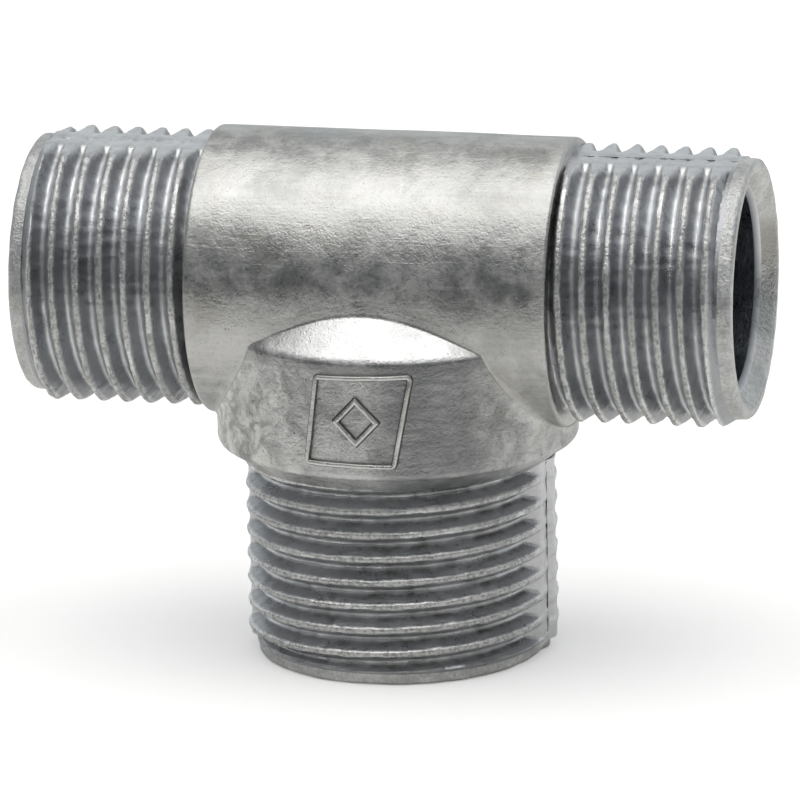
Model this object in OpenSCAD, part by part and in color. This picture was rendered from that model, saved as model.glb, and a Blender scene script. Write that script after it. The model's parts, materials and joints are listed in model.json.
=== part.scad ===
// Tee fitting, die-cast in one piece, with three outside pipe threads.
// The run lies along X, the branch points down along -Z, and the raised mark faces -Y.
// The origin is where the axes of the run and the branch cross. Millimetres.

/* [Threads] */
// Threads per inch, the same on all three ends
threads_per_inch = 14; // [14:1:19]
// Major diameter of the two run threads (G 1/2)
run_thread_d = 20.955; // [20:0.005:22]
// Major diameter of the branch thread (G 5/8)
branch_thread_d = 22.911; // [22:0.001:24]
// Number of thread crests on each run end
run_crests = 7; // [4:1:7]
// Number of thread crests on the branch
branch_crests = 7; // [4:1:7]
// Half width of the filled strip that the mould leaves along each parting line
land_half_width = 2; // [1:0.1:3]

/* [Run] */
// Overall length of the run, end face to end face
run_length = 54.4; // [54:0.1:64]
// Radius of the smooth barrel between the two run threads
barrel_r = 10.75; // [10.6:0.05:12]
// Half the length of the smooth barrel
barrel_half = 13.6; // [13.4:0.1:13.8]
// Radius of the straight bore through the run
run_bore_r = 7.3; // [7.1:0.1:7.4]
// Radius of the plain nose beyond the last run crest
run_nose_r = 9.65; // [9.5:0.05:10.2]

/* [Branch] */
// Distance from the run axis to the branch end face
branch_reach = 28.6; // [28.3:0.1:36]
// Radius of the straight bore down the branch
branch_bore_r = 7; // [6:0.1:7]
// Radius of the plain nose beyond the last branch crest
branch_nose_r = 10.8; // [10.5:0.05:11.2]
// Radius of the round boss between the barrel and the branch thread
boss_r = 13.5; // [13:0.1:13.7]
// Height of the boss's lower face below the run axis
boss_drop = 13.4; // [13.2:0.1:13.6]

/* [Mouths] */
// Depth of the 45 degree countersink at each end
mouth_depth = 1.5; // [0.5:0.1:1.5]
// Small chamfer around each end face
rim_chamfer = 0.3; // [0.1:0.05:0.4]

/* [Mark] */
// How far the raised mark stands out from the boss
mark_height = 0.28; // [0.1:0.02:0.4]
// Width of the raised frame line
frame_line = 0.33; // [0.2:0.01:0.5]
// Width of the raised symbol line
symbol_line = 0.45; // [0.3:0.05:0.7]

/* [Hidden] */
$fn = 96;

inch = 25.4;
pitch = inch / threads_per_inch;
whitworth_half_angle = 27.5;
thread_depth = 0.640327 * pitch;
flank_run = thread_depth * tan(whitworth_half_angle);
crest_flat = (pitch - 2 * flank_run) / 2;
ridge_base = crest_flat + 2 * flank_run;
run_lead_in = 0.15;
branch_lead_in = 0.85;

run_thread_r = run_thread_d / 2;
branch_thread_r = branch_thread_d / 2;
run_root_r = run_thread_r - thread_depth;
branch_root_r = branch_thread_r - thread_depth;
run_land_level = run_root_r + 0.22;
branch_land_level = branch_root_r + 0.9;

run_end = run_length / 2;
run_thread_end = barrel_half + run_lead_in + (run_crests - 1) * pitch + ridge_base;
branch_thread_end = boss_drop + branch_lead_in + branch_crests * pitch + ridge_base / 2;

barrel_edge = 0.4;
boss_chamfer = 2.8;
boss_chamfer_drop = 3.2;
boss_skirt = 1.9;
boss_skirt_drop = 1.3;
boss_round = 0.5;

frame_corners = [[-3.15, -4.25], [4.34, -4.05], [2.97, -11.25], [-4.04, -11.15]];
symbol_center = [0.03, -7.7];
symbol_half = [1.85, 1.95];
reach = 100;

// Outline of a threaded sleeve: distance from the origin along the axis on Y, radius on X.
function ridges(first, count, root_r, crest_r) = [
    for (i = [0 : count - 1])
        let (base = first + i * pitch)
        each [
            [root_r, base],
            [crest_r, base + flank_run],
            [crest_r, base + flank_run + crest_flat],
            [root_r, base + ridge_base]
        ]
];

// The cone that opens a bore at the end face, 45 degrees, along +Z.
module mouth(face, bore_r) {
    translate([0, 0, face - mouth_depth])
        cylinder(r1 = bore_r, r2 = bore_r + 2 * mouth_depth, h = 2 * mouth_depth);
}

// A threaded sleeve along +Z from start to end. Flats at X = +land_level and -land_level cut
// its ridges, and filled strips close its grooves there. The countersink may reach into it.
module threaded_sleeve(start, end, face, lead_in, count, crest_r, land_level, bore_r) {
    root_r = crest_r - thread_depth;
    profile = concat(
        [[bore_r, start], [root_r, start]],
        ridges(start + lead_in, count, root_r, crest_r),
        [[root_r, end], [bore_r, end]]
    );
    difference() {
        rotate_extrude() polygon(profile);
        for (side = [0, 180])
            rotate([0, 0, side]) translate([land_level, -reach / 2, start - 1])
                cube([reach, reach, end - start + 2]);
        mouth(face, bore_r);
    }
    for (side = [0, 180])
        rotate([0, 0, side]) difference() {
            translate([root_r - 1, -land_half_width, start])
                cube([land_level - root_r + 1, 2 * land_half_width, end - start]);
            translate([0, 0, start - 1]) cylinder(r = root_r - 0.6, h = end - start + 2);
        }
}

// The plain nose at an open end along +Z, with its chamfered rim and countersunk mouth.
module nose(start, face, nose_r, bore_r) {
    difference() {
        rotate_extrude() polygon([
            [bore_r, start],
            [nose_r, start],
            [nose_r, face - rim_chamfer],
            [nose_r - rim_chamfer, face],
            [bore_r, face]
        ]);
        mouth(face, bore_r);
    }
}

// Turns a shape built along +Z so that it points along the run, its flats facing up and down.
module along_run(side) {
    rotate([0, side * 90, 0]) children();
}

// Turns a shape built along +Z so that it points down the branch.
module down_branch() {
    rotate([180, 0, 0]) children();
}

module run_bore() {
    rotate([0, 90, 0]) cylinder(r = run_bore_r, h = reach, center = true);
}

module branch_bore() {
    down_branch() cylinder(r = branch_bore_r, h = reach);
}

// A solid cylinder with chamfered ends, lying along the run.
module barrel_blank() {
    rotate([0, 90, 0]) rotate_extrude() polygon([
        [0, -barrel_half],
        [barrel_r - barrel_edge, -barrel_half],
        [barrel_r, -barrel_half + barrel_edge],
        [barrel_r, barrel_half - barrel_edge],
        [barrel_r - barrel_edge, barrel_half],
        [0, barrel_half]
    ]);
}

module run_barrel() {
    color([0.72, 0.73, 0.72]) difference() {
        barrel_blank();
        run_bore();
        branch_bore();
    }
}

// Round boss on the branch axis: a chamfered top that runs into the barrel, a plain
// side, and a sloping skirt down to the branch thread.
module branch_boss() {
    color([0.62, 0.64, 0.61]) difference() {
        rotate_extrude() polygon([
            [0, -boss_chamfer_drop + boss_chamfer],
            [boss_r - boss_chamfer, -boss_chamfer_drop + boss_chamfer],
            [boss_r, -boss_chamfer_drop],
            [boss_r, -boss_drop + boss_skirt_drop + boss_round],
            [boss_r - boss_round, -boss_drop + boss_skirt_drop],
            [boss_r - boss_skirt, -boss_drop],
            [0, -boss_drop]
        ]);
        rotate([0, 90, 0]) cylinder(r = barrel_r, h = reach, center = true);
        branch_bore();
    }
}

module run_thread() {
    threaded_sleeve(barrel_half, run_thread_end, run_end, run_lead_in, run_crests,
                    run_thread_r, run_land_level, run_bore_r);
}

module left_thread() {
    color([0.66, 0.68, 0.68]) along_run(-1) run_thread();
}

module right_thread() {
    color([0.66, 0.68, 0.68]) along_run(1) run_thread();
}

module branch_thread() {
    color([0.66, 0.68, 0.68]) down_branch()
        threaded_sleeve(boss_drop, branch_thread_end, branch_reach, branch_lead_in,
                        branch_crests, branch_thread_r, branch_land_level, branch_bore_r);
}

module run_nose(side) {
    color([0.7, 0.71, 0.71]) along_run(side)
        nose(run_thread_end, run_end, run_nose_r, run_bore_r);
}

module left_nose() {
    run_nose(-1);
}

module right_nose() {
    run_nose(1);
}

module branch_nose() {
    color([0.7, 0.71, 0.71]) down_branch()
        nose(branch_thread_end, branch_reach, branch_nose_r, branch_bore_r);
}

// Wraps a flat outline, drawn in X and Z, onto the front of the boss as a raised line.
module raised_on_boss() {
    intersection() {
        rotate([90, 0, 0]) linear_extrude(height = 2 * boss_r) children();
        difference() {
            translate([0, 0, -boss_drop]) cylinder(r = boss_r + mark_height, h = boss_drop);
            translate([0, 0, -boss_drop - 1]) cylinder(r = boss_r, h = boss_drop + 2);
        }
    }
}

// The leaning four-sided frame, moved inwards by the given inset.
module frame_outline(inset) {
    inwards = [[1, -1], [-1, -1], [-1, 1], [1, 1]];
    polygon([for (i = [0 : 3]) frame_corners[i] + inset * inwards[i]]);
}

module mark_frame() {
    color([0.74, 0.75, 0.74]) raised_on_boss() difference() {
        frame_outline(0);
        frame_outline(frame_line);
    }
}

// A plain diamond outline.
module diamond(inset) {
    translate(symbol_center) polygon([
        [0, symbol_half[1] - inset],
        [symbol_half[0] - inset, 0],
        [0, -symbol_half[1] + inset],
        [-symbol_half[0] + inset, 0]
    ]);
}

module mark_symbol() {
    color([0.74, 0.75, 0.74]) raised_on_boss() difference() {
        diamond(0);
        diamond(symbol_line * sqrt(2));
    }
}

run_barrel();
branch_boss();
left_thread();
right_thread();
branch_thread();
left_nose();
right_nose();
branch_nose();
mark_frame();
mark_symbol();
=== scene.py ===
"""Die-cast tee fitting: the looks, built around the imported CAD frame.

Lengths in this script are millimetres until mesh_piece() turns them into metres.
The run lies along X, the branch points down, the mark faces -Y, and the origin is where
the two axes cross, all as in the CAD model.
"""

import json
import math
from collections import namedtuple

import bmesh
import bpy
import numpy as np
from mathutils import Matrix, Vector


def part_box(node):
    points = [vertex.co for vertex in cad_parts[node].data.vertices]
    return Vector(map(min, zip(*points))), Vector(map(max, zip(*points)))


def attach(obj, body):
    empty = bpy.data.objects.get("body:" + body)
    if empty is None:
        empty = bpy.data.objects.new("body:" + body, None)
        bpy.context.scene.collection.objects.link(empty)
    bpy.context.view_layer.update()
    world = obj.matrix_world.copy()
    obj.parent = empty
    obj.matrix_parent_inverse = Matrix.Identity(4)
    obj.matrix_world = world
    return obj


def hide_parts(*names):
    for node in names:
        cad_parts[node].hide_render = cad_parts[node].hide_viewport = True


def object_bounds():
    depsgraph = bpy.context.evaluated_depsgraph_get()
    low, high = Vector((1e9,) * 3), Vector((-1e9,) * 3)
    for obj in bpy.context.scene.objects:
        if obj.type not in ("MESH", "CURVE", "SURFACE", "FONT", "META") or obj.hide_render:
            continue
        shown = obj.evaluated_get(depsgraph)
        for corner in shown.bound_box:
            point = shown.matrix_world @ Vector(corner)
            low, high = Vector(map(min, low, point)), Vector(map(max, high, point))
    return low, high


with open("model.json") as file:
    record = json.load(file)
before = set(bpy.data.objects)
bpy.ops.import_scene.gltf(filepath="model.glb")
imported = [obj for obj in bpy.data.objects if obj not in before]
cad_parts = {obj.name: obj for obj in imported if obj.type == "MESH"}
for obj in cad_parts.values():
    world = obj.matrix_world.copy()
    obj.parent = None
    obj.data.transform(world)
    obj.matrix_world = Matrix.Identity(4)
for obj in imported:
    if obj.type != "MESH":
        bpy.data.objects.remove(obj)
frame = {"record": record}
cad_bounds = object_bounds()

MM = 0.001


# ---------------------------------------------------------------- sizes from the frame

def box_mm(node):
    low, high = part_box(node)
    return np.array(low) / MM, np.array(high) / MM


THREADS_PER_INCH = 14
PITCH = 25.4 / THREADS_PER_INCH
THREAD_DEPTH = 0.640327 * PITCH  # Whitworth form
CREST_HALF = 0.17  # half the flat width of a worn crest, and of a filled root
ROOT_HALF = 0.11
FLANK = PITCH / 2 - CREST_HALF - ROOT_HALF

_, barrel_high = box_mm("run_barrel")
boss_low, boss_high = box_mm("branch_boss")
run_low, run_high = box_mm("right_thread")
_, nose_high = box_mm("right_nose")
branch_low, branch_high = box_mm("branch_thread")
tip_low, tip_high = box_mm("branch_nose")

BARREL_R = barrel_high[2]
BARREL_HALF = barrel_high[0]
RUN_CREST_R = run_high[1]
RUN_ROOT_R = RUN_CREST_R - THREAD_DEPTH
RUN_THREAD = (run_low[0], run_high[0])
RUN_NOSE_R = nose_high[2]
RUN_END = nose_high[0]
BRANCH_CREST_R = branch_high[1]
BRANCH_ROOT_R = BRANCH_CREST_R - THREAD_DEPTH
BRANCH_THREAD = (-branch_high[2], -branch_low[2])
BRANCH_NOSE_R = tip_high[0]
BRANCH_END = -tip_low[2]
BOSS_R = boss_high[0]
BOSS_BOTTOM = boss_low[2]

# Bores come from the record's mounts.
MOUNTS = {m["name"]: m for m in frame["record"]["mounts"]}
RUN_BORE_R = MOUNTS["run_bore"]["dims"]["r_mm"]
BRANCH_BORE_R = MOUNTS["branch_bore"]["dims"]["r_mm"]
MOUTH_DEPTH = 1.5

# Boss outline: the height where its chamfer starts, and the sloping skirt below its side
CHAMFER_FOOT = -3.2
SKIRT_RUN = 1.9
SKIRT_DROP = 1.3
SKIRT_ROUND = 0.6

# The raised mark
MARK_HEIGHT = 0.28
FRAME_LINE = 0.42
SYMBOL_LINE = 0.47

# Flats along the parting line: they cut the ridges, and a strip fills the grooves there.
STRIP_HALF = 1.45
RUN_FLAT = RUN_ROOT_R + 0.22
BRANCH_FLAT = BRANCH_ROOT_R + 0.9

# What a threaded end is made from. level is its flats' distance from the axis, and front is
# the angle from local X to the fitting's front, in degrees.
End = namedtuple("End", "span crest_r nose_r bore_r face level front")
RUN = End(RUN_THREAD, RUN_CREST_R, RUN_NOSE_R, RUN_BORE_R, RUN_END, RUN_FLAT, -90)
BRANCH = End(BRANCH_THREAD, BRANCH_CREST_R, BRANCH_NOSE_R, BRANCH_BORE_R, BRANCH_END,
             BRANCH_FLAT, 90)

# The rear mould half sits out of register with the front one: a little on the run, and by
# half a pitch on the branch.
REAR_RUN_SHIFT = 0.05
REAR_LIFT = 0.08
REAR_BRANCH_SIDE = 0.38
REAR_BRANCH_SHIFT = 0.9

# Where the first crest passes the front of each thread, from the crossing of the axes
LEFT_FIRST = 14.55
RIGHT_FIRST = 14.5
BRANCH_FIRST = 15.15


# ---------------------------------------------------------------- mesh helpers

def mesh_piece(name, rings, attributes=None, sharp_angle=38):
    """A closed piece from points [around, along its section, xyz], wrapping both ways."""
    rows, cols = rings.shape[:2]
    mesh = bpy.data.meshes.new(name)
    index = np.arange(rows * cols).reshape(rows, cols)
    ahead = np.roll(index, -1, axis=0)
    quads = np.stack([index, np.roll(index, -1, axis=1), np.roll(ahead, -1, axis=1), ahead], -1)
    mesh.from_pydata((rings.reshape(-1, 3) * MM).tolist(), [], quads.reshape(-1, 4).tolist())
    for key, values in (attributes or {}).items():
        layer = mesh.attributes.new(key, "FLOAT", "POINT")
        layer.data.foreach_set("value", np.asarray(values, float).ravel())
    clean(mesh, sharp_angle)
    piece = bpy.data.objects.new(name, mesh)
    bpy.context.scene.collection.objects.link(piece)
    return piece


def clean(mesh, sharp_angle):
    """Joins doubled points, turns the faces outwards and marks the sharp edges."""
    same_place = 1e-7
    work = bmesh.new()
    work.from_mesh(mesh)
    bmesh.ops.remove_doubles(work, verts=work.verts, dist=same_place)
    bmesh.ops.dissolve_degenerate(work, edges=work.edges, dist=same_place)
    bmesh.ops.recalc_face_normals(work, faces=work.faces)
    work.to_mesh(mesh)
    work.free()
    mesh.polygons.foreach_set("use_smooth", [True] * len(mesh.polygons))
    mesh.set_sharp_from_angle(angle=math.radians(sharp_angle))


def wave_noise(points, size, seed):
    """Smooth pseudo-random values in about -1..1, from seeded waves of roughly that size."""
    random = np.random.default_rng(seed)
    total = np.zeros(points.shape[:-1])
    waves = 9
    for _ in range(waves):
        direction = random.normal(size=3)
        direction /= np.linalg.norm(direction)
        length = size * random.uniform(0.7, 1.6)
        total += np.sin(points @ direction * 2 * math.pi / length + random.uniform(0, 6.3))
    return total / math.sqrt(waves)


def along_run(points, side):
    """Local +Z becomes the run's +X or -X, with the flats facing up and down."""
    x, y, z = points[..., 0], points[..., 1], points[..., 2]
    return np.stack([side * z, y, -side * x], -1)


def down_branch(points):
    """Local +Z becomes the branch's direction, with the flats facing left and right."""
    x, y, z = points[..., 0], points[..., 1], points[..., 2]
    return np.stack([x, -y, -z], -1)


def revolve(section, angle):
    """Turns a closed section of (radius, height) points about local Z to the given angles."""
    section = np.array(section, float)
    radius, height = section[None, :, 0], section[None, :, 1]
    return np.stack([radius * np.cos(angle), radius * np.sin(angle), height + 0 * angle], -1)


def arc(center, radius, start, stop, steps):
    """Points of an arc in a (radius, height) section, from and to angles in degrees."""
    angle = np.radians(np.linspace(start, stop, steps))
    return [(center[0] + radius * math.cos(a), center[1] + radius * math.sin(a)) for a in angle]


def line(start, stop, steps):
    """Evenly spaced points from start towards stop, without the last one."""
    share = np.linspace(0, 1, steps, endpoint=False)
    return [(start[0] + (stop[0] - start[0]) * s, start[1] + (stop[1] - start[1]) * s)
            for s in share]


def soft_max(a, b, k):
    """The larger value, with the corner between the two rounded over a width of k."""
    return np.maximum(a, b) + np.clip(k - np.abs(a - b), 0, None) ** 2 / (4 * k)


def soft_min(a, b, k):
    """The smaller value, rounded in the same way."""
    return -soft_max(-a, -b, k)


# ---------------------------------------------------------------- threads

def ridge_depth(offset):
    """Depth below the crest at this distance from the crest's middle line.

    It falls evenly down the flank, and bends over a share called soft at the top and bottom.
    """
    soft = 0.17
    t = (np.abs(offset) - CREST_HALF) / FLANK
    fall = np.clip(t + soft, 0, 2 * soft) ** 2 / (4 * soft) + np.clip(t - soft, 0, None)
    over = np.clip(t - (1 - soft), 0, 2 * soft)
    fall = np.where(t > 1 - soft, (1 - soft) + over - over ** 2 / (4 * soft), fall)
    return THREAD_DEPTH * np.clip(fall, 0, 1)


def pitch_samples():
    """Where one pitch is sampled, from one crest to just before the next."""
    crest = np.array([0, 0.45, 0.8]) * CREST_HALF
    flank = CREST_HALF + FLANK * np.array([-0.06, 0.06, 0.16, 0.34, 0.52, 0.7, 0.84, 0.94, 1.05])
    down = np.concatenate([crest, flank])
    return np.concatenate([down, [0.5 * PITCH], PITCH - down[:0:-1]])


def both_halves(front, count):
    """Angles round the axis, the front mould half's and then the rear one's.

    Returns columns: the angles from local X, the same from the fitting's front, a flag for
    the rear half, and the share of its sideways shift, reached in the first few degrees.
    """
    ease = 4
    half = np.linspace(-90, 90, count)
    angles = np.radians(np.concatenate([half, half + 180]))
    is_rear = np.repeat([0.0, 1.0], count)
    shifted = is_rear * np.clip((90 - np.abs(np.tile(half, 2))) / ease, 0, 1)
    return [v[:, None] for v in (angles + math.radians(front), angles, is_rear, shifted)]


def thread_piece(name, size, first, rear, place):
    """A right-hand helical thread along local +Z, with flats at local +X and -X.

    first is where its first crest passes the front. rear holds the rear mould half's shift
    along the thread, and sideways along local X.
    """
    start, end = size.span
    root_r = size.crest_r - THREAD_DEPTH
    direction, turned, is_rear, shifted = both_halves(size.front, count=170)
    lead = PITCH * turned / (2 * math.pi) + rear[0] * is_rear
    # Pitches are sampled past both ends too, and clip() gathers those points at the ends.
    base = np.concatenate([first + k * PITCH + pitch_samples() for k in range(-2, 9)])
    z = np.clip(base[None, :] + lead, start, end)
    c, s = np.cos(direction), np.sin(direction)

    def at(radius):
        return np.stack([radius * c, radius * s, z + 0 * radius], -1)

    # The ridges, with ragged and worn crests
    probe = at(size.crest_r + 0 * z)
    ragged = 1 + 0.16 * wave_noise(probe, 0.9, 5) + 0.14 * wave_noise(probe, 3, 7)
    offset = (z - first - lead + PITCH / 2) % PITCH - PITCH / 2
    offset = np.sign(offset) * np.maximum(np.abs(offset) + CREST_HALF * (1 - ragged) * 0.8, 0)
    height = THREAD_DEPTH - ridge_depth(offset)
    worn = 0.02 * wave_noise(probe, 1.1, 6) + 0.025 * wave_noise(probe, 6, 8)
    r = root_r + height + worn * (0.3 + 0.7 * height / THREAD_DEPTH)

    # At the open end they run out down a chamfer, and the nose's outline begins.
    chamfer_slope, collar, collar_slope = 1.05, 0.35, 1.6
    r = np.minimum(r, np.maximum(size.nose_r + 0.03 + (end - z) * chamfer_slope, root_r))
    r = np.maximum(r, size.nose_r - np.clip(end - collar - z, 0, 1) * collar_slope)
    ridge = (r - root_r) / THREAD_DEPTH

    # The flat cuts the ridges. The strip in its middle fills the grooves, falls away to
    # both sides, and has a faint broken seam.
    strip_fade, seam_half = 1.5, 0.16
    across = np.maximum(np.abs(c), 0.05)
    level = size.level + 0.018 * wave_noise(probe, 2.2, 11) + 0.012 * wave_noise(probe, 0.8, 13)
    cut = level / across
    off_middle = np.abs(level * s / across)
    fade = np.clip((off_middle - STRIP_HALF) / strip_fade, 0, 2)
    strip = level - fade ** 2 * (3 - fade) / 2
    seam = np.clip(1 - off_middle / seam_half, 0, 1) * (0.08 * wave_noise(probe, 0.7, 12) - 0.01)
    strip = (strip - np.clip(seam, 0, 0.12)) / across
    strip = np.where(off_middle < STRIP_HALF + 2, strip, 0)
    flat = np.maximum(np.clip((r - cut) / 0.3 + 0.8, 0, 1),
                      np.clip((strip - r) / 0.2 + 0.7, 0, 1))
    r = soft_max(soft_min(r, cut, 0.3), strip, 0.25)
    outer = at(r)
    outer[..., 0] += rear[1] * shifted

    # The countersink, where it reaches into this piece, and the bore
    mouth = size.face - MOUTH_DEPTH
    heights = [end, mouth, mouth - 0.15, start] if mouth < end else [end, start]
    inner = revolve([(size.bore_r + max(0.0, h - mouth), h) for h in heights], direction)
    rings = np.concatenate([outer, inner], 1)
    pad = np.zeros((len(outer), len(heights)))
    deep = np.broadcast_to(np.array([0.0] * z.shape[1] + [h <= mouth for h in heights], float),
                           rings.shape[:2])
    ridge = np.concatenate([ridge, pad + 0.5], 1)
    flat = np.concatenate([flat, pad + 1.0], 1)
    return mesh_piece(name, place(rings), {"ridge": ridge, "flat": flat, "bore": deep}, 32)


def nose_piece(name, size, side_shift, place, seed):
    """The plain ring at an open end: rounded rim, flat lip and countersunk mouth.

    side_shift moves the rear half's outside along local X.
    """
    start, face, nose_r, bore_r = size.span[1], size.face, size.nose_r, size.bore_r
    mouth = face - MOUTH_DEPTH
    low = max(start, mouth)
    lip = bore_r + MOUTH_DEPTH + 0.12
    rim_round, lip_round = 0.38, 0.14
    section = (
        line((bore_r + max(0, start - mouth), start), (nose_r, start), 4)
        + line((nose_r, start), (nose_r, face - rim_round), 5)
        + arc((nose_r - rim_round, face - rim_round), rim_round, 0, 90, 9)
        + line((nose_r - rim_round - 0.03, face), (lip, face), 4)
        + arc((lip, face - lip_round), lip_round, 90, 135, 4)
        + line((lip - 0.22, face - 0.1), (bore_r + low - mouth, low), 6)
    )
    if start < mouth:
        section += line((bore_r, mouth), (bore_r, start), 3)
    direction, _, _, shifted = both_halves(size.front, count=220)
    rings = revolve(section, direction)
    radius, height = np.array(section).T[:, None]
    # The outside is uneven, but stays within the end face.
    share = np.clip((radius - lip) / max(nose_r - lip, 0.3), 0, 1) + 0 * direction
    free = np.clip((height - start) / 0.3, 0, 1) * share
    rough = 0.022 * wave_noise(rings, 1.3, seed) + 0.03 * wave_noise(rings, 4.0, seed + 10) - 0.02
    rings[..., :2] *= 1 + (free * rough / np.maximum(radius, 1))[..., None]
    rings[..., 2] += free * (0.02 * wave_noise(rings, 1.6, seed + 20) - 0.03)
    rings[..., 2] = np.minimum(rings[..., 2], face)
    rings[..., 0] += side_shift * shifted * share
    deep = np.clip((bore_r + 0.2 - radius) / 0.2, 0, 1) + 0 * direction
    return mesh_piece(name, place(rings), {"bore": deep})


# ---------------------------------------------------------------- barrel and boss

def swell(points):
    """The slight unevenness of the barrel's skin, in millimetres."""
    return 0.012 * wave_noise(points, 5, 21) + 0.015 * wave_noise(points, 14, 22) - 0.02


def barrel_piece():
    """The smooth barrel, bored through, with softly rounded ends and the branch opening."""
    edge = 0.3
    flat = BARREL_HALF - edge
    section = (
        arc((BARREL_R - edge, -flat), edge, -90, 0, 9)
        + line((BARREL_R, -flat + 0.2), (BARREL_R, flat), 60)
        + arc((BARREL_R - edge, flat), edge, 0, 90, 9)
        + line((BARREL_R - edge - 0.1, BARREL_HALF), (RUN_BORE_R, BARREL_HALF), 3)
        + line((RUN_BORE_R, BARREL_HALF), (RUN_BORE_R, -BARREL_HALF), 24)
        + line((RUN_BORE_R, -BARREL_HALF), (BARREL_R - edge - 0.05, -BARREL_HALF), 3)
    )
    around = np.linspace(0, 2 * math.pi, 420, endpoint=False)[:, None]
    rings = along_run(revolve(section, around), 1)
    radial = np.linalg.norm(rings[..., 1:], axis=-1)
    skin = np.clip((radial - RUN_BORE_R - 1) / 2, 0, 1)
    rings[..., 1:] *= 1 + (skin * swell(rings) / radial)[..., None]
    piece = mesh_piece("barrel_casting", rings)
    drill(piece, BRANCH_BORE_R, BOSS_BOTTOM)
    return piece


def drill(piece, radius, bottom):
    """Cuts the branch bore from the run axis down to bottom."""
    height = -bottom
    cutter_mesh = bpy.data.meshes.new("cutter")
    work = bmesh.new()
    bmesh.ops.create_cone(work, cap_ends=True, segments=160, radius1=radius * MM,
                          radius2=radius * MM, depth=height * MM,
                          matrix=Matrix.Translation((0, 0, -height / 2 * MM)))
    work.to_mesh(cutter_mesh)
    work.free()
    cutter = bpy.data.objects.new("cutter", cutter_mesh)
    bpy.context.scene.collection.objects.link(cutter)
    cut = piece.modifiers.new("drill", "BOOLEAN")
    cut.operation = "DIFFERENCE"
    cut.solver = "EXACT"
    cut.object = cutter
    bpy.context.view_layer.update()
    evaluated = piece.evaluated_get(bpy.context.evaluated_depsgraph_get())
    drilled = bpy.data.meshes.new_from_object(evaluated)
    piece.modifiers.clear()
    piece.data = drilled
    bpy.data.objects.remove(cutter)
    clean(piece.data, 38)


def fillet_size(points):
    """The fillet: thin along the top arch, wider down the sides, thin at the barrel's end."""
    down = np.clip((-points[..., 2] - 4.5) / 2.5, 0, 1)
    to_shoulder = BARREL_HALF + 0.2 - np.abs(points[..., 0])
    return np.minimum(0.14 + 0.75 * down, np.clip(to_shoulder * 0.4, 0.08, 1))


def body_field(points):
    """Signed distance to the barrel and the boss together, blended in the crease."""
    edge = 0.16
    x, y, z = points[..., 0], points[..., 1], points[..., 2]
    barrel = np.hypot(y, z) - BARREL_R
    side = np.hypot(x, y) - BOSS_R
    chamfer = (side + z - CHAMFER_FOOT) / math.sqrt(2)
    return soft_min(barrel, soft_max(side, chamfer, edge), fillet_size(points))


def settle(points, field, rounds=5):
    """Moves points along the field's gradient until they lie on its surface."""
    step = 1e-4
    for _ in range(rounds):
        value = field(points)
        slope = np.stack([(field(points + step * axis) - field(points - step * axis)) / (2 * step)
                          for axis in np.eye(3)], -1)
        points = points - slope * (value / np.maximum((slope ** 2).sum(-1), 1e-9))[..., None]
    return points


def boss_outline():
    """The boss's (radius, height) outline from its lower face up to the chamfer's top."""
    chamfer_run = 4.5
    foot_r = BOSS_R - SKIRT_RUN
    skirt_top = BOSS_BOTTOM + SKIRT_DROP
    return (
        line((foot_r, BOSS_BOTTOM), (BOSS_R - SKIRT_ROUND * 0.6, skirt_top), 10)
        + arc((BOSS_R - SKIRT_ROUND, skirt_top + SKIRT_ROUND * 0.65), SKIRT_ROUND, -55, 0, 10)
        + line((BOSS_R, skirt_top + SKIRT_ROUND * 0.75), (BOSS_R, CHAMFER_FOOT), 120)
        + line((BOSS_R, CHAMFER_FOOT),
               (BOSS_R - chamfer_run, CHAMFER_FOOT + chamfer_run), 60)
    )


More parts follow.
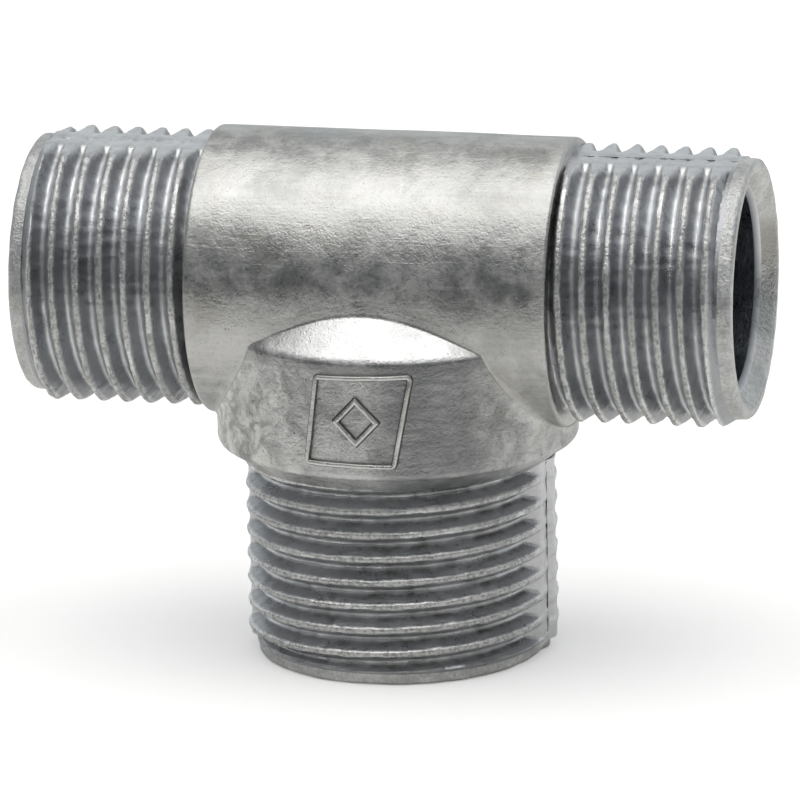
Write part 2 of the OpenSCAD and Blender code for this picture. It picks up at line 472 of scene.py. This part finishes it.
def boss_piece():
    """The boss: its section is followed at each angle up to the barrel, then feathers out on it."""
    outline = np.array(boss_outline())
    legs = np.hypot(*np.diff(outline, axis=0).T)
    travel = np.concatenate([[0], np.cumsum(legs)])
    count = 520
    angle = np.linspace(0, 2 * math.pi, count, endpoint=False) + math.pi / count
    fine = np.linspace(0, travel[-1], 6000)
    fine_r = np.interp(fine, travel, outline[:, 0])
    fine_z = np.interp(fine, travel, outline[:, 1])

    # Each section is sampled closely along the skirt and again near the crease.
    skirt_end, crease = 2.8, 0.9
    sections = []
    for phi in angle:
        inside = np.hypot(fine_r * math.sin(phi), fine_z) < BARREL_R
        reach = fine[np.argmax(inside)]
        near = max(reach - crease, skirt_end + 0.05)
        s = np.concatenate([np.linspace(0, skirt_end, 22, endpoint=False),
                            np.linspace(skirt_end, near, 34, endpoint=False),
                            np.linspace(near, reach, 13)])
        sections.append(np.stack([np.interp(s, travel, side) for side in outline.T], -1))
    sections = np.array(sections)

    # From the crease on, walk a little way up the barrel's own surface, less at its ends.
    sin2 = np.sin(angle) ** 2
    r, z = sections[:, -1, 0].copy(), sections[:, -1, 1].copy()
    stride = 0.08 * np.clip((BOSS_R - 0.1 - r * np.abs(np.cos(angle))) / 1.5, 0.01, 1)
    walk = []
    for _ in range(11):
        # One stride along the surface, (tr, tz), then back onto it across, (gr, gz)
        tr, tz = -z, r * sin2
        size = np.hypot(tr, tz)
        r, z = r + stride * tr / size, z + stride * tz / size
        error = r ** 2 * sin2 + z ** 2 - BARREL_R ** 2
        gr, gz = 2 * r * sin2, 2 * z
        size2 = np.maximum(gr ** 2 + gz ** 2, 1e-9)
        r, z = r - error * gr / size2, z - error * gz / size2
        walk.append(np.stack([r, z], -1))
    sections = np.concatenate([sections, np.array(walk).transpose(1, 0, 2)], 1)

    c, s = np.cos(angle)[:, None], np.sin(angle)[:, None]
    outer = np.stack([sections[..., 0] * c, sections[..., 0] * s, sections[..., 1]], -1)
    # The skirt keeps its own shape, and all above it settles on the blended surface.
    skirt_margin = 1.0
    on_skirt = (outer[..., 2] < BOSS_BOTTOM + SKIRT_DROP + skirt_margin)[..., None]
    outer = np.where(on_skirt, outer, settle(outer, body_field))
    lift = 0.010 * wave_noise(outer, 4, 31) + 0.015 * wave_noise(outer, 11, 32) - 0.015
    clear = np.clip((np.hypot(outer[..., 1], outer[..., 2]) - BARREL_R) / 0.6, 0, 1)
    radial = np.hypot(outer[..., 0], outer[..., 1])
    outer[..., :2] *= 1 + (clear * lift / radial)[..., None]
    lean = (1 - clear) * (swell(outer) + 0.002)
    outer[..., 1:] *= 1 + (lean / np.hypot(outer[..., 1], outer[..., 2]))[..., None]
    outer[:, -1] *= 0.998

    # Back inside, under the barrel's skin, and down the bore.
    skin = BARREL_R - 0.05
    last_r = np.hypot(outer[:, -1, 0], outer[:, -1, 1])[:, None]
    r = last_r + (BRANCH_BORE_R - last_r) * np.append(np.linspace(0.12, 1, 7), 1)
    depth = -np.sqrt(np.maximum(skin ** 2 - r ** 2 * sin2[:, None], 0))
    depth[:, -1] = BOSS_BOTTOM
    rings = np.concatenate([outer, np.stack([r * c, r * s, depth], -1)], 1)

    # The attribute keeps the boss's own tones off the part that feathers out on the barrel.
    own = np.zeros(rings.shape[:2])
    own[:, :sections.shape[1] - len(walk) - 2] = 1
    return mesh_piece("boss_casting", rings, {"own": own})


# ---------------------------------------------------------------- the raised mark

def rounded_polygon(corners, inset, radius, per_side, per_corner):
    """Points around a convex four-sided outline, moved inwards by inset, with round corners."""
    corners = np.array(corners, float)
    count = len(corners)
    middle = corners.mean(0)
    lines = []  # each side: a point on it, its direction and its inward normal
    for i in range(count):
        a, b = corners[i], corners[(i + 1) % count]
        along = (b - a) / np.linalg.norm(b - a)
        normal = np.array([-along[1], along[0]])
        if normal @ (middle - a) < 0:
            normal = -normal
        lines.append((a + normal * inset, along, normal))
    bend = max(radius - inset, 0.06)
    starts, stops, centers = [], [], []
    for i in range(count):
        (p, _, n), (q, _, m) = lines[i - 1], lines[i]
        center = np.linalg.solve(np.array([n, m]), np.array([n @ p + bend, m @ q + bend]))
        centers.append(center)
        stops.append(center - n * bend)
        starts.append(center - m * bend)
    points = []
    for i in range(count):
        following = (i + 1) % count
        for s in np.linspace(0, 1, per_side, endpoint=False):
            points.append(starts[i] + (stops[following] - starts[i]) * s)
        a, b = stops[following] - centers[following], starts[following] - centers[following]
        for s in np.linspace(0, 1, per_corner, endpoint=False):
            blend = a * (1 - s) + b * s
            points.append(centers[following] + blend / np.linalg.norm(blend) * bend)
    return np.array(points)


def raised_line(name, corners, width, height, radius):
    """A raised line with soft shoulders, following an outline on the front of the boss."""
    # Across its width and up its height, both as shares, closed below the boss's skin
    section = [(-0.1, -0.1), (0.0, 0.15), (0.1, 0.75), (0.22, 1.0), (0.5, 1.03),
               (0.78, 1.0), (0.9, 0.75), (1.0, 0.15), (1.1, -0.1), (0.5, -0.3)]
    side = [1.0 if up < 0.9 else 0.0 for _, up in section]
    loops = []
    for across, up in section:
        flat = rounded_polygon(corners, across * width, radius, 60, 8)
        probe = np.stack([flat[:, 0], 0 * flat[:, 0], flat[:, 1]], -1)
        worn = 1 - 0.2 * np.clip(wave_noise(probe, 1.6, 41), 0, 1)
        r = BOSS_R - 0.01 + up * height * (worn if up > 0 else 1)
        loops.append(np.stack([flat[:, 0], -np.sqrt(r ** 2 - flat[:, 0] ** 2), flat[:, 1]], -1))
    rings = np.stack(loops, 1)
    edge = np.broadcast_to(np.array(side), rings.shape[:2])
    return mesh_piece(name, rings, {"edge": edge}, 60)


def mark_pieces():
    """The leaning frame and the diamond inside it."""
    low, high = box_mm("mark_frame")
    top_lean, bottom_lean, left_drop, left_rise = 0.89, 1.37, 0.2, 0.1
    frame_corners = [(low[0] + top_lean, high[2] - left_drop), (high[0], high[2]),
                     (high[0] - bottom_lean, low[2]), (low[0], low[2] + left_rise)]
    mark_frame = raised_line("mark_frame_line", frame_corners, FRAME_LINE, MARK_HEIGHT, 0.45)
    low, high = box_mm("mark_symbol")
    middle = (low + high) / 2
    diamond = [(middle[0], high[2]), (high[0], middle[2]),
               (middle[0], low[2]), (low[0], middle[2])]
    mark_symbol = raised_line("mark_symbol_line", diamond, SYMBOL_LINE, MARK_HEIGHT, 0.12)
    return mark_frame, mark_symbol


# ---------------------------------------------------------------- materials

class Nodes:
    """A short way to write a node tree. Values may be numbers or the outputs of nodes."""

    def __init__(self, tree, coordinate):
        self.tree = tree
        self.place = self.add("ShaderNodeTexCoord").outputs[coordinate]

    def add(self, kind, **settings):
        node = self.tree.nodes.new(kind)
        for key, value in settings.items():
            setattr(node, key, value)
        return node

    def link(self, source, target):
        self.tree.links.new(source, target)

    def put(self, socket, value):
        if hasattr(value, "links"):
            self.link(value, socket)
        else:
            socket.default_value = value

    def noise(self, size_mm, detail=4, rough=0.55, stretch=(1, 1, 1), distort=0.0, seed=0):
        """Noise of about this size. A seed moves it elsewhere, so that no two are the same."""
        scale = self.add("ShaderNodeVectorMath", operation="MULTIPLY_ADD")
        scale.inputs[1].default_value = stretch
        scale.inputs[2].default_value = (seed * 0.37, seed * 0.53, seed * 0.71)
        self.link(self.place, scale.inputs[0])
        node = self.add("ShaderNodeTexNoise")
        node.inputs["Scale"].default_value = 1 / (size_mm * MM)
        node.inputs["Detail"].default_value = detail
        node.inputs["Roughness"].default_value = rough
        node.inputs["Distortion"].default_value = distort
        self.link(scale.outputs[0], node.inputs["Vector"])
        return node.outputs["Fac"]

    def math(self, operation, a, b=0.0, clamp=False):
        node = self.add("ShaderNodeMath", operation=operation, use_clamp=clamp)
        self.put(node.inputs[0], a)
        self.put(node.inputs[1], b)
        return node.outputs[0]

    def times(self, product, *factors):
        for factor in factors:
            product = self.math("MULTIPLY", product, factor)
        return product

    def inverse(self, share):
        return self.math("SUBTRACT", 1.0, share)

    def step(self, value, low, high, out_low=0.0, out_high=1.0):
        """Goes smoothly from out_low, where value is low or less, to out_high."""
        node = self.add("ShaderNodeMapRange", interpolation_type="SMOOTHSTEP")
        self.put(node.inputs["Value"], value)
        self.put(node.inputs["From Min"], low)
        self.put(node.inputs["From Max"], high)
        self.put(node.inputs["To Min"], out_low)
        self.put(node.inputs["To Max"], out_high)
        return node.outputs["Result"]

    def mix(self, share, a, b):
        """Colour a where share is 0 and b where it is 1."""
        node = self.add("ShaderNodeMix", data_type="RGBA")
        self.put(node.inputs["Factor"], share)
        for socket, value in ((node.inputs[6], a), (node.inputs[7], b)):
            self.put(socket, value if hasattr(value, "links") else (*value, 1.0))
        return node.outputs[2]

    def axes(self):
        """X, Y and Z of the place, in metres."""
        node = self.add("ShaderNodeSeparateXYZ")
        self.link(self.place, node.inputs[0])
        return node.outputs

    def radius(self, *kept, offset=(0, 0, 0)):
        """Distance from the axis or point left by the kept coordinates, in metres."""
        keep = self.add("ShaderNodeVectorMath", operation="MULTIPLY_ADD")
        self.link(self.place, keep.inputs[0])
        keep.inputs[1].default_value = kept
        keep.inputs[2].default_value = offset
        node = self.add("ShaderNodeVectorMath", operation="LENGTH")
        self.link(keep.outputs[0], node.inputs[0])
        return node.outputs["Value"]

    def attribute(self, name):
        return self.add("ShaderNodeAttribute", attribute_name=name).outputs["Fac"]

    def bump(self, height, strength, distance_mm, under=None):
        node = self.add("ShaderNodeBump")
        node.inputs["Strength"].default_value = strength
        node.inputs["Distance"].default_value = distance_mm * MM
        self.link(height, node.inputs["Height"])
        if under is not None:
            self.link(under, node.inputs["Normal"])
        return node.outputs["Normal"]


class Surface(Nodes):
    """The node tree of a new material."""

    def __init__(self, name):
        self.material = bpy.data.materials.new(name)
        self.material.use_nodes = True
        super().__init__(self.material.node_tree, "Object")
        self.shader = self.tree.nodes["Principled BSDF"]

    def present(self, channel):
        """What feeds the shader's channel so far."""
        return self.shader.inputs[channel].links[0].from_socket

    def recolor(self, share, color):
        """Mixes a colour over the present base colour."""
        mixed = self.mix(share, self.present("Base Color"), color)
        self.link(mixed, self.shader.inputs["Base Color"])

    def roughen(self, share, size_mm, distance_mm, seed):
        """Adds a coarser bump to the part of the surface given by share."""
        height = self.times(self.noise(size_mm, 3, 0.7, seed=seed), share)
        bumped = self.bump(height, 1.0, distance_mm, self.present("Normal"))
        self.link(bumped, self.shader.inputs["Normal"])


def cast_zinc(name, tones, grain=1.0, rough=(0.3, 0.46), stains=0.5, other=None, share=None):
    """Die-cast zinc: mottled skin, stains, fine grain, a few pits and light scratches.

    tones are the light, the dark and the stain colour. other holds a second set of them,
    used where the attribute named by share is 1.
    """
    n = Surface(name)
    broad = n.noise(7, 5, 0.6, seed=1)
    cloud = n.noise(2.2, 6, 0.66, distort=0.4, seed=2)
    speck = n.noise(0.32, 3, 0.7, seed=3)
    fine = n.noise(0.17, 2, 0.6, seed=4)
    streak = n.noise(0.45, 3, 0.6, stretch=(0.08, 1.0, 1.5), distort=0.2, seed=6)
    mottled = 0.0
    for part, weight in ((broad, 0.35), (cloud, 0.45), (streak, 0.12), (speck, 0.08)):
        mottled = n.math("ADD", mottled, n.times(part, weight))
    patches = n.step(n.noise(3.4, 5, 0.66, distort=0.8, seed=5), 0.5, 0.72)

    def skin(light, dark, stain):
        color = n.mix(n.step(mottled, 0.4, 0.6), dark, light)
        color = n.mix(n.times(patches, stains), color, stain)
        return n.mix(n.step(speck, 0.30, 0.42, 0.35, 0.0), color, tuple(0.4 * v for v in dark))

    color = skin(*tones)
    if other:
        color = n.mix(n.attribute(share), color, skin(*other))
    n.link(color, n.shader.inputs["Base Color"])
    n.shader.inputs["Metallic"].default_value = 1.0
    roughness = n.math("ADD", n.step(cloud, 0.35, 0.65, *rough),
                       n.times(n.math("SUBTRACT", speck, 0.5), 0.3))
    n.link(roughness, n.shader.inputs["Roughness"])
    scratches = n.step(streak, 0.60, 0.66, 0.0, 1.0)
    pits = n.step(n.noise(0.4, 2, 0.5, seed=7), 0.22, 0.30, -1.0, 0.0)
    normal = n.bump(n.noise(1.8, 3, 0.5, seed=8), 0.25 * grain, 0.10)
    normal = n.bump(speck, min(0.7 * grain, 1), 0.04, normal)
    patchy = n.step(n.noise(3.0, 4, 0.6, seed=9), 0.42, 0.6, 0.25, 1.0)
    normal = n.bump(n.times(fine, patchy), min(0.8 * grain, 1), 0.035, normal)
    normal = n.bump(scratches, 0.35, 0.012, normal)
    normal = n.bump(pits, 0.3, 0.04, normal)
    n.link(normal, n.shader.inputs["Normal"])
    return n


# Painted shade: the bores are coloured dark for the shade inside them.
BORE_SHADE = (0.15, 0.165, 0.19)
# Each set of tones is the light, the dark and the stain colour.
BARREL_TONES = (0.67, 0.67, 0.66), (0.43, 0.435, 0.43), (0.52, 0.50, 0.45)
BOSS_TONES = (0.73, 0.74, 0.735), (0.32, 0.33, 0.33), (0.43, 0.40, 0.345)


def barrel_material():
    """Even grey outside, with painted shade making the bore dark."""
    n = cast_zinc("barrel_zinc", BARREL_TONES, grain=1.25)
    # Painted shade darkens the bore.
    n.recolor(n.step(n.radius(0, 1, 1), 7.5 * MM, 8.0 * MM, 1.0, 0.0), BORE_SHADE)
    return n.material


def boss_material():
    """A painted highlight makes the smooth chamfer palest, with painted shade under it; pale clouds
    to the left of the mark, darker to its right.
    """
    n = cast_zinc("boss_zinc", BARREL_TONES, grain=1.25, other=BOSS_TONES, share="own")
    own = n.attribute("own")
    x, _, z = n.axes()

    def around(coordinate, middle_mm, near_mm, far_mm, strength):
        """A share: strength within near_mm of the middle, falling to 0 at far_mm."""
        away = n.math("ABSOLUTE", n.math("SUBTRACT", coordinate, middle_mm * MM))
        return n.step(away, near_mm * MM, far_mm * MM, strength, 0.0)

    brushed = n.noise(0.5, 4, 0.6, stretch=(0.07, 0.5, 1.3), seed=12)
    # Darker to the right of the mark.
    darker_right = n.times(around(x, 5.2, 1.5, 5.0, 1.0), n.step(brushed, 0.3, 0.7, 0.95, 0.5))
    n.recolor(n.times(darker_right, own), (0.27, 0.275, 0.285))
    clouds = n.step(n.noise(1.7, 6, 0.7, distort=0.6, seed=13), 0.42, 0.60)
    pale = n.times(n.step(x, -7.0 * MM, -2.5 * MM, 0.7, 0.0), clouds)
    n.recolor(n.times(pale, own), (0.90, 0.90, 0.88))
    chamfer = n.times(n.step(z, -3.5 * MM, -3.1 * MM), own)
    # Painted highlight: the chamfer's colour is lightened, less towards its left end.
    n.recolor(n.times(chamfer, n.step(x, -9.0 * MM, -1.0 * MM, 0.35, 0.85)), (0.80, 0.80, 0.805))
    # Painted shade: a dark band just under the chamfer's edge.
    shade_below_chamfer = around(z, -3.75, 0.15, 0.7, 0.45)
    n.recolor(n.times(shade_below_chamfer, own), (0.27, 0.275, 0.28))
    n.roughen(n.math("SUBTRACT", own, chamfer), 0.26, 0.055, 15)
    return n.material


def rim_material():
    """Gritty trimmed rims; the run's countersinks are smoother, with a painted dark reflection
    across each.
    """
    n = cast_zinc("rim_zinc", ((0.78, 0.79, 0.79), (0.50, 0.51, 0.51), (0.48, 0.47, 0.43)),
                  rough=(0.34, 0.5), stains=0.3)
    n.recolor(n.step(n.noise(0.27, 4, 0.75, seed=19), 0.42, 0.62, 0.0, 0.4), (0.36, 0.36, 0.35))
    _, _, z = n.axes()
    mouth = n.times(n.step(n.radius(0, 1, 1), 8.7 * MM, 8.9 * MM, 1.0, 0.0),
                    n.step(n.radius(1, 0, 0), 20 * MM, 21 * MM))
    # Painted reflection: a dark band across the middle of each of the run's mouths, with a little
    # of its tone over the rest of the mouth.
    reflection_band = n.times(n.step(z, -2.0 * MM, 1.2 * MM), n.step(z, 1.6 * MM, 5 * MM, 1.0, 0.0))
    n.recolor(n.times(mouth, n.step(reflection_band, 0.0, 1.0, 0.15, 0.85)), (0.33, 0.32, 0.295))
    # Painted shade darkens the bore.
    n.recolor(n.attribute("bore"), BORE_SHADE)
    n.roughen(n.step(mouth, 0.0, 1.0, 1.0, 0.4), 0.22, 0.09, 16)
    smoother = n.times(n.present("Roughness"), n.step(mouth, 0.0, 1.0, 1.0, 0.6))
    n.link(smoother, n.shader.inputs["Roughness"])
    return n.material


def mark_material():
    """Light tops, partly wear and partly painted highlight, with dark sides, partly dirt and partly
    painted shade.
    """
    # The light tones stand partly for wear and partly for a painted highlight on the tops.
    n = cast_zinc("mark_zinc", ((0.80, 0.80, 0.79), (0.55, 0.55, 0.54), (0.48, 0.44, 0.38)),
                  rough=(0.26, 0.4), stains=0.4)
    # The sides of the raised lines are darkened, partly dirt and partly painted shade.
    n.recolor(n.times(n.attribute("edge"), 0.9), (0.12, 0.11, 0.10))
    return n.material


def thread_material():
    """Painted shade on the flanks, painted highlights on the roots and in broken lines along the
    crests, a painted dark reflection on the crest tops, flats lighter partly in their own tone and
    partly as painted highlight, and darkened grooves.

    The ridge attribute is 0 at the root and 1 at the crest. The groove darkening, part dirt and
    part painted shade, is only on the branch.
    """
    n = cast_zinc("thread_zinc", ((0.74, 0.755, 0.775), (0.50, 0.51, 0.53), (0.46, 0.44, 0.40)),
                  rough=(0.28, 0.42), stains=0.3)
    ridge = n.attribute("ridge")
    flat = n.attribute("flat")
    off_flat = n.inverse(flat)
    low = n.step(ridge, 0.02, 0.16, 1.0, 0.0)
    high = n.step(ridge, 0.7, 0.95, 0.0, 1.0)
    # Painted shade: the flanks between root and crest are darkened.
    flank = n.times(n.inverse(n.math("ADD", low, high, clamp=True)), off_flat)
    n.recolor(n.times(flank, 0.55), (0.25, 0.262, 0.285))
    x, _, z = n.axes()
    on_branch = n.times(n.step(z, -13.6 * MM, -13.2 * MM, 1.0, 0.0),
                        n.step(x, -9.0 * MM, 4.0 * MM, 0.35, 1.0))
    # The branch's grooves are darkened, more to the right: partly dirt, partly painted shade.
    grime_and_shade = n.step(n.noise(1.6, 5, 0.65, distort=0.5, seed=14), 0.44, 0.64, 0.15, 0.75)
    groove = n.times(n.step(ridge, 0.12, 0.62, 1.0, 0.0), off_flat)
    n.recolor(n.times(grime_and_shade, groove, on_branch), (0.13, 0.12, 0.105))
    light = (0.84, 0.85, 0.86)
    # Painted highlight: a light line along the roots.
    n.recolor(n.times(low, off_flat, 0.6), light)
    # The flats are lightened, partly their own tone and partly painted highlight.
    n.recolor(n.times(flat, 0.35), light)
    crest = n.times(high, off_flat)
    broken = n.step(n.noise(0.26, 3, 0.65, stretch=(0.8, 0.8, 0.8), seed=18), 0.36, 0.56)
    # Painted highlight: broken bright lines along the crests.
    n.recolor(n.times(crest, n.times(broken, 0.85)), (0.93, 0.93, 0.92))
    # Painted reflection: the very top of each crest is darkened.
    top = n.times(n.step(ridge, 0.955, 0.99), off_flat)
    n.recolor(n.times(top, n.step(broken, 0.0, 1.0, 0.75, 0.45)), (0.30, 0.30, 0.295))
    # Painted shade darkens the bore.
    n.recolor(n.attribute("bore"), BORE_SHADE)
    n.roughen(crest, 0.24, 0.08, 17)
    return n.material


def floor_material():
    """The camera sees a pale floor, and the metal one that dims with distance in front."""
    n = Surface("pale_floor")
    seen = n.add("ShaderNodeLightPath").outputs["Is Camera Ray"]
    shade = n.step(n.noise(60, 3, 0.5), 0.3, 0.7, 0.0, 1.0)
    pale = n.mix(shade, (0.93, 0.93, 0.93), (0.95, 0.95, 0.95))
    behind, bright_r, dim_r = 0.19, 0.25, 0.34  # metres
    near = n.step(n.radius(1, 1, 0, offset=(0, -behind, 0)), bright_r, dim_r, 1.0, 0.0)
    returned = n.mix(near, (0.16, 0.165, 0.17), (0.92, 0.91, 0.89))
    n.link(n.mix(seen, returned, pale), n.shader.inputs["Base Color"])
    n.shader.inputs["Emission Color"].default_value = (1.0, 1.0, 1.0, 1.0)
    n.link(n.times(seen, 0.30), n.shader.inputs["Emission Strength"])
    n.shader.inputs["Roughness"].default_value = 0.9
    n.shader.inputs["Specular IOR Level"].default_value = 0.1
    return n.material


# ---------------------------------------------------------------- stage, light and camera

def add_floor():
    """A wide floor under the branch's end face."""
    half_width_m = 6.0
    work = bmesh.new()
    bmesh.ops.create_grid(work, x_segments=8, y_segments=8, size=half_width_m)
    mesh = bpy.data.meshes.new("floor")
    work.to_mesh(mesh)
    work.free()
    floor = bpy.data.objects.new("floor", mesh)
    floor.location.z = cad_bounds[0][2]
    bpy.context.scene.collection.objects.link(floor)
    mesh.materials.append(floor_material())


def add_world():
    """A soft studio: a bright ceiling, a dim room in front and a pale wall behind.

    The camera sees plain paper instead, and only the metal sees the studio.
    """
    world = bpy.data.worlds.new("studio")
    bpy.context.scene.world = world
    world.use_nodes = True
    world.node_tree.nodes.clear()
    n = Nodes(world.node_tree, "Generated")
    _, y, z = n.axes()
    room = n.step(y, -0.3, 0.5, 0.13, 0.75)
    haze = n.step(z, 0.25, 0.7, room, 0.42)
    ceiling = n.step(y, 0.0, 0.5, 1.85, 0.75)
    tint = n.mix(n.step(z, 0.3, 0.8), (0.93, 0.98, 1.0), (1.0, 0.992, 0.972))
    studio = n.add("ShaderNodeBackground")
    n.link(tint, studio.inputs["Color"])
    n.link(n.step(z, 0.69, 0.83, haze, ceiling), studio.inputs["Strength"])
    paper = n.add("ShaderNodeBackground")
    paper.inputs["Color"].default_value = (0.90, 0.90, 0.90, 1)
    blend = n.add("ShaderNodeMixShader")
    n.link(n.add("ShaderNodeLightPath").outputs["Is Camera Ray"], blend.inputs[0])
    n.link(studio.outputs[0], blend.inputs[1])
    n.link(paper.outputs[0], blend.inputs[2])
    n.link(blend.outputs[0], n.add("ShaderNodeOutputWorld").inputs["Surface"])


def add_camera():
    """A long lens, a little above the run and turned towards its right-hand mouth."""
    azimuth, elevation, roll = (math.radians(a) for a in (13.4, 15.2, 1.1))
    distance, aim_right, aim_up = 630.0, 0.35, -9.3
    back = Vector((math.sin(azimuth) * math.cos(elevation),
                   -math.cos(azimuth) * math.cos(elevation), math.sin(elevation)))
    level = Vector((math.cos(azimuth), math.sin(azimuth), 0))
    rise = back.cross(level)
    right = level * math.cos(roll) - rise * math.sin(roll)
    up = level * math.sin(roll) + rise * math.cos(roll)
    camera_data = bpy.data.cameras.new("camera")
    camera_data.sensor_width = 36
    view_width = 59.35
    camera_data.lens = camera_data.sensor_width * distance / view_width
    camera_data.clip_start = 0.01
    camera_data.clip_end = 20
    camera = bpy.data.objects.new("camera", camera_data)
    place = (back * distance + right * aim_right + up * aim_up) * MM
    turn = Matrix((right, up, back)).transposed().to_4x4()
    camera.matrix_world = Matrix.Translation(place) @ turn
    bpy.context.scene.collection.objects.link(camera)
    bpy.context.scene.camera = camera


# ---------------------------------------------------------------- build

def take_over(piece, material, slot, *nodes):
    """The piece stands for its CAD nodes, in the one rigid body."""
    piece.data.materials.clear()
    piece.data.materials.append(material)
    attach(piece, "root")
    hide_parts(*nodes)


def to_left(points):
    return along_run(points, -1)


def to_right(points):
    return along_run(points, 1)


threads = thread_material()
rims = rim_material()
marks = mark_material()

take_over(barrel_piece(), barrel_material(), "barrel_casting", "run_barrel")
take_over(boss_piece(), boss_material(), "boss_casting", "branch_boss")
for name, size, first, rear, place in (
        ("left", RUN, LEFT_FIRST, (-REAR_RUN_SHIFT, REAR_LIFT), to_left),
        ("right", RUN, RIGHT_FIRST, (REAR_RUN_SHIFT, -REAR_LIFT), to_right),
        ("branch", BRANCH, BRANCH_FIRST, (REAR_BRANCH_SHIFT, REAR_BRANCH_SIDE), down_branch)):
    helix = thread_piece(name + "_thread_helix", size, first, rear, place)
    take_over(helix, threads, "thread_casting", name + "_thread")
for name, size, side_shift, place, seed in (
        ("left", RUN, 0.0, to_left, 51),
        ("right", RUN, 0.0, to_right, 52),
        ("branch", BRANCH, REAR_BRANCH_SIDE, down_branch, 53)):
    ring = nose_piece(name + "_nose_ring", size, side_shift, place, seed)
    take_over(ring, rims, "rim_casting", name + "_nose")
frame_line, symbol_line = mark_pieces()
take_over(frame_line, marks, "mark_casting", "mark_frame")
take_over(symbol_line, marks, "mark_casting", "mark_symbol")

add_floor()
add_world()
add_camera()
bpy.context.scene.view_settings.view_transform = "Standard"
